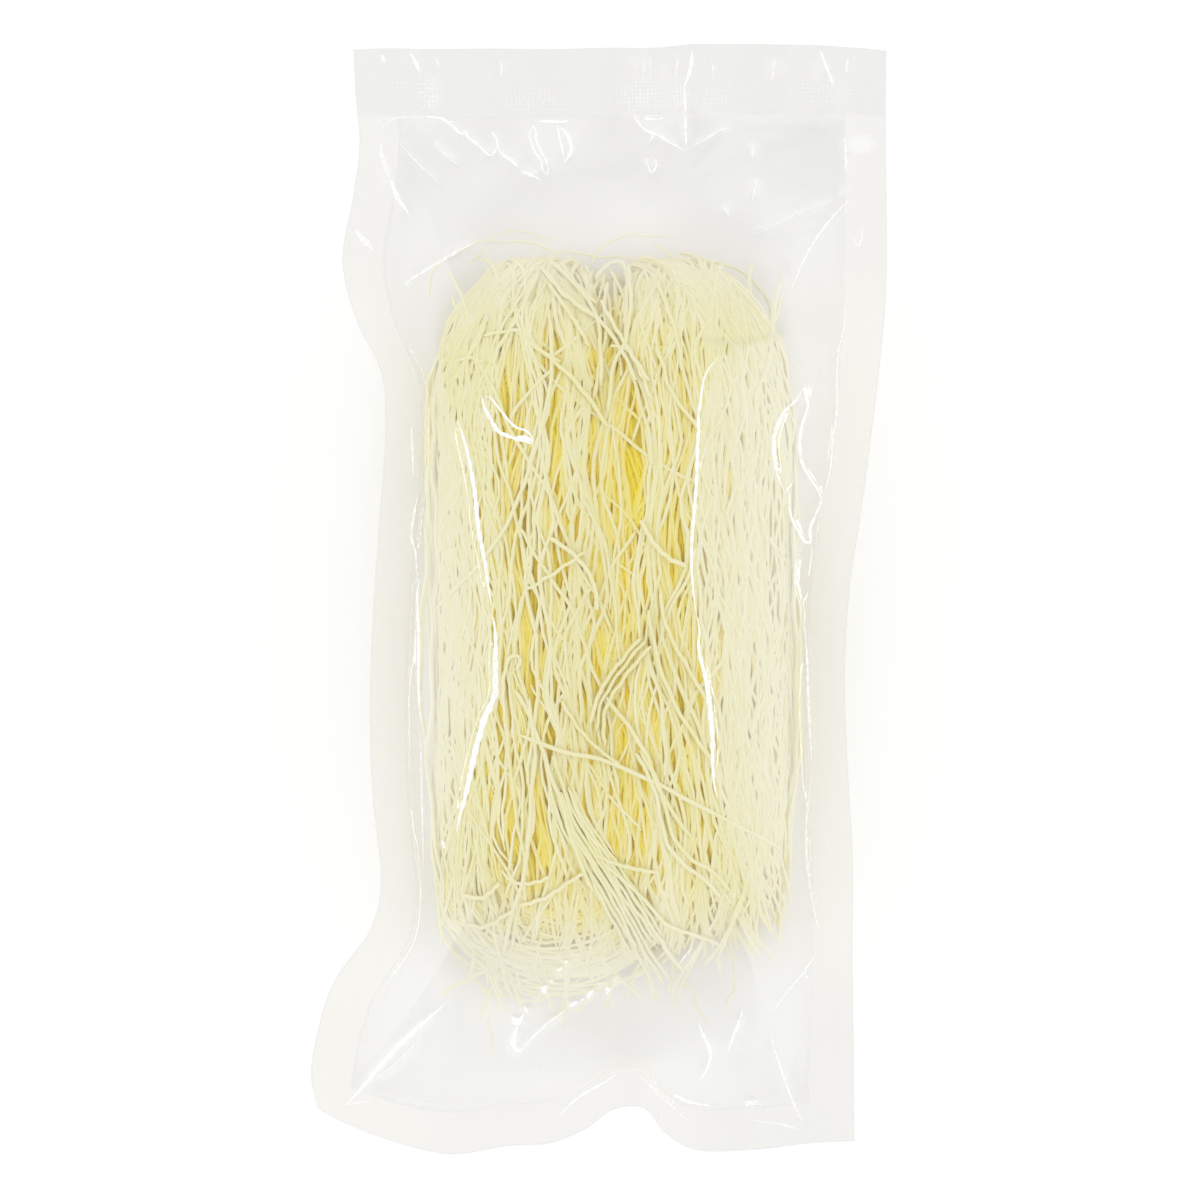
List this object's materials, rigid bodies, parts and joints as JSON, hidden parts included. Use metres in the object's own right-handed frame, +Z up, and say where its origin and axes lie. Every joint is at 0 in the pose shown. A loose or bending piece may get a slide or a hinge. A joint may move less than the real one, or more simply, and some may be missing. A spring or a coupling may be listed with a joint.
{
  "type": "bag of mung bean vermicelli",
  "caption": "Dry mung bean vermicelli folded into a hank, in a flat clear bag welded shut along its edges; the bag lies on its back with the full side up.",
  "frame": {"origin": "under the middle of the bag's outline, on the surface that it lies on", "axes": "+X across the bag, +Y along it towards the ribbed closing weld, +Z up through the full upper side"},
  "size_m": [0.1264, 0.244, 0.0286],
  "materials": {
    "film": "thin clear glossy film, faintly milky, with a finely embossed closing weld",
    "vermicelli": "dry translucent starch noodle, pale straw yellow, slightly rough"
  },
  "bodies": {
    "root": {"vermicelli_bag": "film"}
  },
  "joints": []
}
